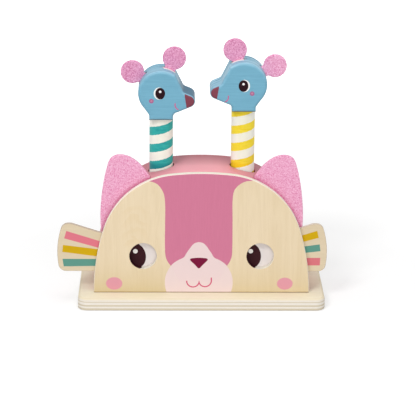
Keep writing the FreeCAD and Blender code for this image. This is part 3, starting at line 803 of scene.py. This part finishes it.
def striped(name, axis_x, start, tints, creams):
    look = Look(name)
    x, y, z = look.xyz(look.point((axis_x, PEG_DEPTH, start)))[:3]
    thin, thick, at_foot, lit_side = tints
    # Painted light on the two sides of the peg, for the cream and the stripes.
    side = look.remap(look.size(x), 3.0, 8.5)
    cream = sprayed(look, *creams)
    cream = look.mix(look.remap(z, 22.0, 4.0), cream, CREAM_FOOT)
    cream = look.mix(side, cream, CREAM_SIDE_LIGHT)
    streak = look.noise(look.point(scale=(0.12, 0.12, 1.0)), 1.0, 4.0, 0.7, 0.2)
    paint = look.mix(look.remap(streak, 0.35, 0.65), thin, thick)
    paint = look.mix(side, paint, lit_side)
    paint = look.mix(look.below(z, 6.5, 4.0), paint, at_foot)
    stripe = stripe_mask(look, x, y, z)
    colour = look.mix(look.times(stripe, 0.99), cream, paint)
    from_axis = look.plus(look.times(x, x), look.times(y, y))
    bare, _ = grain(look, "Z", axis_x)
    colour = look.mix(look.step(from_axis, BARE_CORE, 2.0), bare, colour)
    look.bump(paint_height(look, "Z"), 0.3)
    return look.finish(colour, 0.42, 0.12)


teal_peg = striped("teal_peg", -PEG_X, 106.75, TEALS, TEAL_CREAMS)
yellow_peg = striped("yellow_peg", PEG_X, 107.95, YELLOWS, YELLOW_CREAMS)
print("stripe pitch in mm:", STRIPE_PITCH)

# %% [markdown]
# ## Turned beech and plain steel
# The collars, glue blocks and plugs inside are bare beech: a warmer wood with short dark
# flecks. Springs and screws are drawn and plated steel. They hardly show, so one noise for
# the fibre or the drawn lines and one for the flecks or the stains are enough.

# %% Beech and steel
BEECH_TINTS = (ink(224, 190, 146), ink(202, 162, 116))
BEECH_FLECK = ink(168, 120, 78)
STEEL_STAIN = ink(150, 148, 144)


def beech(name, axis):
    look = Look(name)
    fibre = look.noise(look.point(scale=ALONG[axis]), 1.4, 4.0, 0.6, 0.5)
    fleck = look.step(look.noise(look.point(), 0.9, 2.0, 0.5, 1.0), 0.64, 0.06)
    colour = look.mix(fibre, *BEECH_TINTS)
    colour = look.mix(look.times(fleck, 0.4), colour, BEECH_FLECK)
    look.bump(fibre, 0.3)
    return look.finish(colour, 0.6, 0.3)


def steel(name, tint, axis):
    look = Look(name)
    drawn = look.noise(look.point(scale=ALONG[axis]), 6.0, 3.0, 0.7)
    stain = look.noise(look.point(), 0.4, 3.0)
    colour = look.mix(look.remap(stain, 0.35, 0.7), tint, STEEL_STAIN)
    look.bump(drawn, 0.2, 0.02)
    rough = look.remap(drawn, 0.2, 0.8, 0.25, 0.45)
    return look.set(Base_Color=colour, Metallic=1.0, Roughness=rough)


beech_wood = beech("beech_wood", "X")
peg_beech = beech("turned_beech", "Z")
spring_wire = steel("spring_wire", ink(190, 192, 196), "Z")
zinc = steel("zinc_plate", ink(205, 206, 208), "X")
print("inner materials:", [m.name for m in (beech_wood, peg_beech, spring_wire, zinc)])

# %% [markdown]
# ## Pressed felt
# Felt is a mat of tangled fibres, dyed in slightly different pinks. Hairs could be grown on
# it, but pressed felt has hardly any that stand up: it is mottled, it has no shine, and its
# fuzz catches light at grazing angles, which Blender calls sheen. Painted shade darkens the
# cat's ears where they come out of the shell, along its shoulder.

# %% Felt
SHOULDER = (16.4, 45.6)
SHOULDER_RADIUS = 65.3
EAR_SHADE_WIDTH = 1.9
EAR_SHADE_PINK = ink(212, 60, 122)
SHEEN_PINK = ink(255, 214, 232)


def felt(name, light, deep, ear_shade=0.0):
    look = Look(name)
    place = look.point()
    clump = look.noise(place, 0.95, 3.0, 0.7, 0.8)
    fibre = look.noise(place, 2.4, 4.0, 0.75, 2.5)
    speck = look.plus(look.times(clump, 0.6), look.times(fibre, 0.4))
    colour = look.mix(look.remap(speck, 0.4, 0.6), light, deep)
    # Painted shade on the cat's ears along the shell's shoulder.
    if ear_shade:
        x, _, z = look.xyz(place)[:3]
        across = look.minus(look.size(x), SHOULDER[0])
        away = look.length(across, look.minus(z, SHOULDER[1]))
        start = SHOULDER_RADIUS + EAR_SHADE_WIDTH
        near = look.remap(away, start, SHOULDER_RADIUS, 0.0, ear_shade)
        colour = look.mix(near, colour, EAR_SHADE_PINK)
    look.bump(look.plus(fibre, clump), 0.8, 0.3)
    look.finish(colour, 0.95, 0.1)
    return look.set(Sheen_Weight=0.12, Sheen_Roughness=0.6, Sheen_Tint=SHEEN_PINK)


cat_felt = felt("cat_ear_felt", ink(255, 208, 231), ink(223, 118, 168), 0.32)
deep_felt = felt("deep_felt", ink(250, 193, 224), ink(197, 97, 148))
light_felt = felt("light_felt", ink(255, 208, 233), ink(218, 116, 166))
print("felts:", [m.name for m in (cat_felt, deep_felt, light_felt)])

# %% [markdown]
# ## Felt ears with soft edges
# Die-cut felt has no sharp edge. A bevel would round it like rubber, so the plain solid is
# turned into an even mesh, its edges are relaxed, and every point moves a little in or out,
# more at the rim, where loose fibres stand up.

# %% Make the felt pieces
FELT_VOXEL = 0.5
FELT_FUZZ = 0.11


def finished(piece, body, stands_for, material):
    bpy.context.scene.collection.objects.link(piece)
    piece.data.materials.clear()
    piece.data.materials.append(material)
    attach(piece, body)
    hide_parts(stands_for)
    return piece


def baked(source, modifiers, name):
    """A new object whose mesh is the source's after the given modifiers."""
    copy = bpy.data.objects.new(name, source.data.copy())
    bpy.context.scene.collection.objects.link(copy)
    for kind, settings in modifiers:
        modifier = copy.modifiers.new(kind, kind)
        for key, value in settings.items():
            setattr(modifier, key, value)
    bpy.context.view_layer.update()
    shape = copy.evaluated_get(bpy.context.evaluated_depsgraph_get())
    mesh = bpy.data.meshes.new_from_object(shape)
    bpy.data.objects.remove(copy)
    return bpy.data.objects.new(name, mesh)


def felt_piece(node, body, material):
    even = {"mode": "VOXEL", "voxel_size": FELT_VOXEL * MM, "use_smooth_shade": True}
    relaxed = {"factor": 0.5, "iterations": 4}
    piece = baked(nodes[node], [("REMESH", even), ("SMOOTH", relaxed)], node + "_felt")
    moved = []
    for vertex in piece.data.vertices:
        spot = vertex.co / MM
        coarse = noise.noise(spot * 0.45)
        fine = noise.noise(spot * 1.7 + Vector((31.0, 7.0, 13.0)))
        rim = 1.0 - abs(vertex.normal.y)
        push = coarse * 0.5 + fine * (0.6 + 0.8 * rim)
        moved.extend(vertex.co + vertex.normal * (push * FELT_FUZZ * MM))
    piece.data.vertices.foreach_set("co", moved)
    return finished(piece, body, node, material)


for side, back_felt in (("left", deep_felt), ("right", light_felt)):
    felt_piece(f"{side}_cat_ear", "box", cat_felt)
    felt_piece(f"{side}_front_ear", f"{side}_peg", deep_felt)
    felt_piece(f"{side}_back_ear", f"{side}_peg", back_felt)
felts = [o for o in bpy.data.objects if o.name.endswith("_felt")]
print("felt faces:", sum(len(o.data.polygons) for o in felts))

# %% [markdown]
# ## Sanded edges
# No edge on a toy is left sharp. A bevel modifier would round these panels, but it runs along
# the hidden edges of a flat face with holes in long spikes. A panel is one outline carried
# straight through its thickness, so it is simpler to read the outline from the solid, and to
# build the rounded edge ring by ring.

# %% Read a panel's outline
WELD = 0.02
FLAT = 0.999


def outlines(mesh):
    """The loops round a panel's front face, each a list of (x, z) with the wood on its left."""
    shape = bmesh.new()
    shape.from_mesh(mesh)
    bmesh.ops.remove_doubles(shape, verts=shape.verts, dist=WELD * MM)
    front = min(vertex.co.y for vertex in shape.verts) + 0.001 * MM
    flat = [f for f in shape.faces if f.normal.y < -FLAT and f.verts[0].co.y < front]
    known = set(flat)
    follows = {}
    for face in flat:
        for corner in face.loops:
            if sum(other in known for other in corner.edge.link_faces) == 1:
                follows[corner.vert] = corner.link_loop_next.vert
    loops = []
    while follows:
        first, here = follows.popitem()
        loop = [first]
        while here != first:
            loop.append(here)
            here = follows.pop(here)
        loops.append([Vector((v.co.x, v.co.z)) for v in loop])
    shape.free()
    return loops


print("outlines of the face:", len(outlines(nodes["front_panel"].data)))

# %% [markdown]
# ## A rounded wall along an outline
# Each ring of points steps in a little and back a little, along a quarter of a circle. Many
# rings would look round by themselves, but a few do, if their normals follow that circle.

# %% Walls with rounded edges
ROUND_STEPS = 4
SHARP_TURN = math.radians(25)
MITRE_LIMIT = 0.3


class Skin:
    """Collects points, faces and the normal of each face corner."""

    def __init__(self):
        self.points, self.faces, self.normals = [], [], []

    def face(self, corners, normals):
        spots = [self.points[c] for c in corners]
        turn = (spots[1] - spots[0]).cross(spots[2] - spots[0])
        if turn.dot(sum(normals, Vector())) < 0:
            corners, normals = corners[::-1], normals[::-1]
        self.faces.append(corners)
        self.normals += normals

    def mesh(self, name):
        made = bpy.data.meshes.new(name)
        made.from_pydata(self.points, [], self.faces)
        made.polygons.foreach_set("use_smooth", [True] * len(self.faces))
        made.normals_split_custom_set(self.normals)
        return made


def left_of(start, end):
    step = (end - start).normalized()
    return Vector((-step.y, step.x))


def edge_profile(size, low, high):
    """How far in, how deep and at what angle each ring lies, from the front to the back."""
    profile = []
    for step in range(ROUND_STEPS + 1):
        angle = step / ROUND_STEPS * math.pi / 2
        profile.append((size * (1 - math.sin(angle)), low + size * (1 - math.cos(angle)), angle))
    back = [(inset, high + low - y, math.pi - angle) for inset, y, angle in profile[::-1]]
    return profile + back


def add_wall(skin, loop, profile):
    """Adds the rings and faces along one outline, and returns its first and last ring."""
    count, first = len(loop), len(skin.points)
    sides = [left_of(loop[i], loop[(i + 1) % count]) for i in range(count)]
    inward = []
    for i in range(count):
        both = (sides[i - 1] + sides[i]).normalized()
        inward.append(both / max(both.dot(sides[i]), MITRE_LIMIT))
    for inset, y, _ in profile:
        for spot, aim in zip(loop, inward):
            place = spot + aim * inset
            skin.points.append(Vector((place.x, y, place.y)))

    def normal(index, side, angle):
        turned = sides[index - 1].angle(sides[index]) > SHARP_TURN
        flat = -(sides[side] if turned else inward[index].normalized())
        return Vector((flat.x * math.sin(angle), -math.cos(angle), flat.y * math.sin(angle)))

    for ring in range(len(profile) - 1):
        here, there = first + ring * count, first + (ring + 1) * count
        near, far = profile[ring][2], profile[ring + 1][2]
        for i in range(count):
            j = (i + 1) % count
            skin.face(
                [here + i, here + j, there + j, there + i],
                [normal(i, i, near), normal(j, i, near), normal(j, i, far), normal(i, i, far)],
            )
    return [list(range(start, start + count)) for start in (first, len(skin.points) - count)]


print("rings in a rounded edge:", ROUND_STEPS + 1)

# %% [markdown]
# ## Whole panels
# A panel is a wall along each of its outlines, with a flat face in front and one behind. Its
# rim is sanded rounder than its holes.

# %% Sand the panels
# Piece, body, slot, material, and the two radii in millimetres: at the rim, in the holes.
PANELS = [
    ("front_panel", "box", "printed_face", printed_face, 0.75, 0.25),
    ("back_panel", "box", "plywood", panel_wood, 0.6, 0.3),
    ("slider_plate", "eye_slider", "printed_plate", printed_plate, 0.45, 0.25),
]


def rounded_panel(node, radius, hole_radius):
    mesh = nodes[node].data
    low = min(v.co.y for v in mesh.vertices)
    high = max(v.co.y for v in mesh.vertices)
    skin = Skin()
    walls = []
    for loop in outlines(mesh):
        area = sum(a.cross(b) for a, b in zip(loop, loop[1:] + loop[:1]))
        size = (radius if area > 0 else hole_radius) * MM
        walls.append(add_wall(skin, loop, edge_profile(size, low, high)))
    for rings, outward in zip(zip(*walls), (-1, 1)):
        order = [index for ring in rings for index in ring]
        spots = [[Vector((skin.points[i].x, skin.points[i].z, 0)) for i in ring] for ring in rings]
        for triangle in tessellate_polygon(spots):
            skin.face([order[i] for i in triangle], [Vector((0, outward, 0))] * 3)
    return bpy.data.objects.new(node + "_sanded", skin.mesh(node))


for node, body, slot, material, radius, hole_radius in PANELS:
    panel = finished(rounded_panel(node, radius, hole_radius), body, node, material)
    print(panel.name, "faces:", len(panel.data.polygons))

# %% [markdown]
# ## The bent shell
# The shell is thin plywood, bent over the top. It has no such hidden edges, so here the bevel
# modifier is the simplest way. The solid's triangles are first joined into whole faces, so
# that it meets clean corners.

# %% Sand the shell
SHELL_ROUND = 0.6


def sanded_shell():
    mesh = nodes["body_shell"].data.copy()
    shape = bmesh.new()
    shape.from_mesh(mesh)
    bmesh.ops.remove_doubles(shape, verts=shape.verts, dist=0.002 * MM)
    bmesh.ops.dissolve_limit(
        shape, angle_limit=math.radians(0.4), verts=shape.verts, edges=shape.edges
    )
    shape.to_mesh(mesh)
    shape.free()
    holder = bpy.data.objects.new("joined_shell", mesh)
    bevel = {"width": SHELL_ROUND * MM, "segments": 3, "loop_slide": False}
    bevel.update(limit_method="ANGLE", angle_limit=math.radians(40), harden_normals=True)
    piece = baked(holder, [("BEVEL", bevel)], "body_shell_sanded")
    bpy.data.objects.remove(holder)
    return finished(piece, "box", "body_shell", shell_paint)


print("shell faces:", len(sanded_shell().data.polygons))

# %% [markdown]
# ## Springs that squash
# Each spring is a coil of steel wire under a peg, with its end coils closed. Simulating it
# would gain nothing, as its coils only come closer together. So the wire is wound once, and
# the share of its height that it keeps when the peg goes down is worked out and printed.

# %% Wind the springs
COIL_RADIUS = 8.2
WIRE_RADIUS = 0.65
COIL_TURNS = 12
TURN_STEPS = 32
CLOSED_COIL = 2 * WIRE_RADIUS * MM * 1.02
PRESS_TRAVEL = 38.0


def wire_height(turn, rise):
    if turn < 1:
        return turn * CLOSED_COIL
    if turn > COIL_TURNS - 1:
        return rise - (COIL_TURNS - turn) * CLOSED_COIL
    return CLOSED_COIL + (turn - 1) / (COIL_TURNS - 2) * (rise - 2 * CLOSED_COIL)


def coil(side):
    low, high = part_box(f"{side}_spring")
    centre = (low + high) / 2
    foot = low.z + WIRE_RADIUS * MM
    rise = high.z - low.z - 2 * WIRE_RADIUS * MM
    path = bpy.data.curves.new(f"{side}_wire", "CURVE")
    path.dimensions = "3D"
    spline = path.splines.new("POLY")
    spline.points.add(COIL_TURNS * TURN_STEPS)
    for index, point in enumerate(spline.points):
        turn = index / TURN_STEPS
        x = centre.x + COIL_RADIUS * MM * math.cos(turn * math.tau)
        y = centre.y + COIL_RADIUS * MM * math.sin(turn * math.tau)
        point.co = (x, y, foot + wire_height(turn, rise), 1.0)
    path.bevel_depth = WIRE_RADIUS * MM
    path.bevel_resolution = 2
    path.use_fill_caps = True
    rough = bpy.data.objects.new(f"{side}_path", path)
    mesh = bpy.data.meshes.new_from_object(rough)
    bpy.data.objects.remove(rough)
    for polygon in mesh.polygons:
        polygon.use_smooth = True
    piece = bpy.data.objects.new(f"{side}_coil", mesh)
    finished(piece, "box", f"{side}_spring", spring_wire)
    keep = 1 - PRESS_TRAVEL * MM / (high.z - low.z)
    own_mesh(piece)
    return keep


print("springs squash to:", [round(coil(side), 3) for side in ("left", "right")])

# %% [markdown]
# ## Dress the other solids
# What is left keeps the exact shape of its solid, and only gets its finish. New meshes would
# show nothing, because these pieces are hidden or already round.

# %% Give out the finishes
FINISHES = {
    board_wood: ["base_board"],
    panel_wood: ["partition", "upper_guide", "lower_guide"],
    shelf_wood: ["peg_shelf"],
    left_head_paint: ["left_head"],
    right_head_paint: ["right_head"],
    teal_peg: ["left_dowel"],
    yellow_peg: ["right_dowel"],
    beech_wood: ["left_block", "right_block", "stop_pin"],
    peg_beech: ["left_collar", "right_collar", "left_spring_seat", "right_spring_seat"],
    zinc: ["base_screws", "left_collar_screw", "right_collar_screw"],
}
for material, names in FINISHES.items():
    for name in names:
        for index in range(len(nodes[name].data.materials)):
            nodes[name].data.materials[index] = material
print("finished solids:", sum(len(names) for names in FINISHES.values()))

# %% [markdown]
# ## A small white studio
# Product shots of toys use a white sweep and large soft lamps. The floor is pale and takes
# the shadow. Brighter lamps would make it white, but would bleach the toy too. So a little
# glow is added, which shows only to the camera, straight or in something shiny or clear.

# %% Floor and world
FLOOR_REACH = 3.0
FLOOR_WHITE = (0.63, 0.63, 0.63, 1.0)
NEAR_GLOW = 0.39
FAR_GLOW = 0.9
WORLD_LIGHT = 0.52
WHITE = (1.0, 1.0, 1.0, 1.0)
SEEN_RAYS = ("Is Camera Ray", "Is Glossy Ray", "Is Transmission Ray")


def seen(look):
    """1 for the rays that show the camera a surface, and 0 for those that light the toy."""
    rays = look.tree.nodes.new("ShaderNodeLightPath").outputs
    return look.either(*[rays[kind] for kind in SEEN_RAYS])


def white_floor():
    mesh = bpy.data.meshes.new("floor")
    turns = ((-1, -1), (1, -1), (1, 1), (-1, 1))
    corners = [(x * FLOOR_REACH, y * FLOOR_REACH, 0) for x, y in turns]
    mesh.from_pydata(corners, [], [(0, 1, 2, 3)])
    floor = bpy.data.objects.new("floor", mesh)
    floor.location.z = -0.1 * MM
    bpy.context.scene.collection.objects.link(floor)
    floor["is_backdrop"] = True
    look = Look("white_floor")
    away = look.node("ShaderNodeVectorMath", {0: look.point()}, operation="LENGTH").outputs[1]
    glow = look.remap(away, 200.0, 800.0, NEAR_GLOW, FAR_GLOW)
    look.finish(FLOOR_WHITE, 1.0, 0.0)
    look.set(Emission_Color=WHITE, Emission_Strength=look.times(seen(look), glow))
    mesh.materials.append(look.material)


def white_world():
    look = Look("studio", bpy.data.worlds, "Background")
    look.set(Color=WHITE, Strength=look.remap(seen(look), 0.0, 1.0, WORLD_LIGHT, 1.0))
    bpy.context.scene.world = look.material


white_floor()
white_world()
print("light from the world:", WORLD_LIGHT)

# %% [markdown]
# ## Lamps
# A large lamp high on the left is the main light, a wide one in front lifts the shadows, and
# one above lights the tops. Small lamps would draw hard shadow edges.

# %% Lamps
def softbox(name, place, target, size, power):
    lamp = bpy.data.lights.new(name, "AREA")
    lamp.shape = "RECTANGLE"
    lamp.size, lamp.size_y = size
    lamp.energy = power
    holder = bpy.data.objects.new(name, lamp)
    holder.location = place
    aim = Vector(target) - Vector(place)
    holder.rotation_euler = aim.to_track_quat("-Z", "Y").to_euler()
    bpy.context.scene.collection.objects.link(holder)


softbox("key", (-1.5, -2.4, 2.7), (0, 0, 0.1), (1.0, 1.0), 46.0)
softbox("front", (0.5, -3.0, 0.8), (0, 0, 0.1), (2.0, 1.4), 24.5)
softbox("top", (0.0, -0.3, 2.4), (0, 0, 0.05), (1.2, 1.2), 14.0)

# %% [markdown]
# ## The camera
# A long lens, about one and a half metres away and a little above the toy, keeps its upright
# lines nearly parallel; a short lens close by would make them lean.

# %% Place the camera
DISTANCE = 1.470
ELEVATION = math.radians(18.7)
YAW = math.radians(1.23)
ROLL = math.radians(0.53)
AIM = (0.0053, 0.0, 0.0742)
FOCAL_PIXELS = 1803.0
PICTURE = 416

turn = Matrix.Rotation(-YAW, 4, "Z") @ Matrix.Rotation(math.pi / 2 - ELEVATION, 4, "X")
turn = turn @ Matrix.Rotation(ROLL, 4, "Z")
camera_data = bpy.data.cameras.new("camera")
camera_data.sensor_width = 36.0
camera_data.lens = camera_data.sensor_width * FOCAL_PIXELS / PICTURE
camera = bpy.data.objects.new("camera", camera_data)
back = Matrix.Translation((0.0, 0.0, DISTANCE))
camera.matrix_world = Matrix.Translation(AIM) @ turn @ back
bpy.context.scene.collection.objects.link(camera)
bpy.context.scene.camera = camera
bpy.context.scene.view_settings.view_transform = "Standard"
print("lens in mm:", round(camera_data.lens, 1))

# %% [markdown]
# ## Compare the sizes
# The dressed toy must stay the size of its solids, so the growth of its box is printed.

# %% Write the sizes and finish
low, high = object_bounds()
grown = [round(v / MM, 2) for v in (high - low) - (cad_high - cad_low)]
print("dressed toy larger by, in mm:", grown)
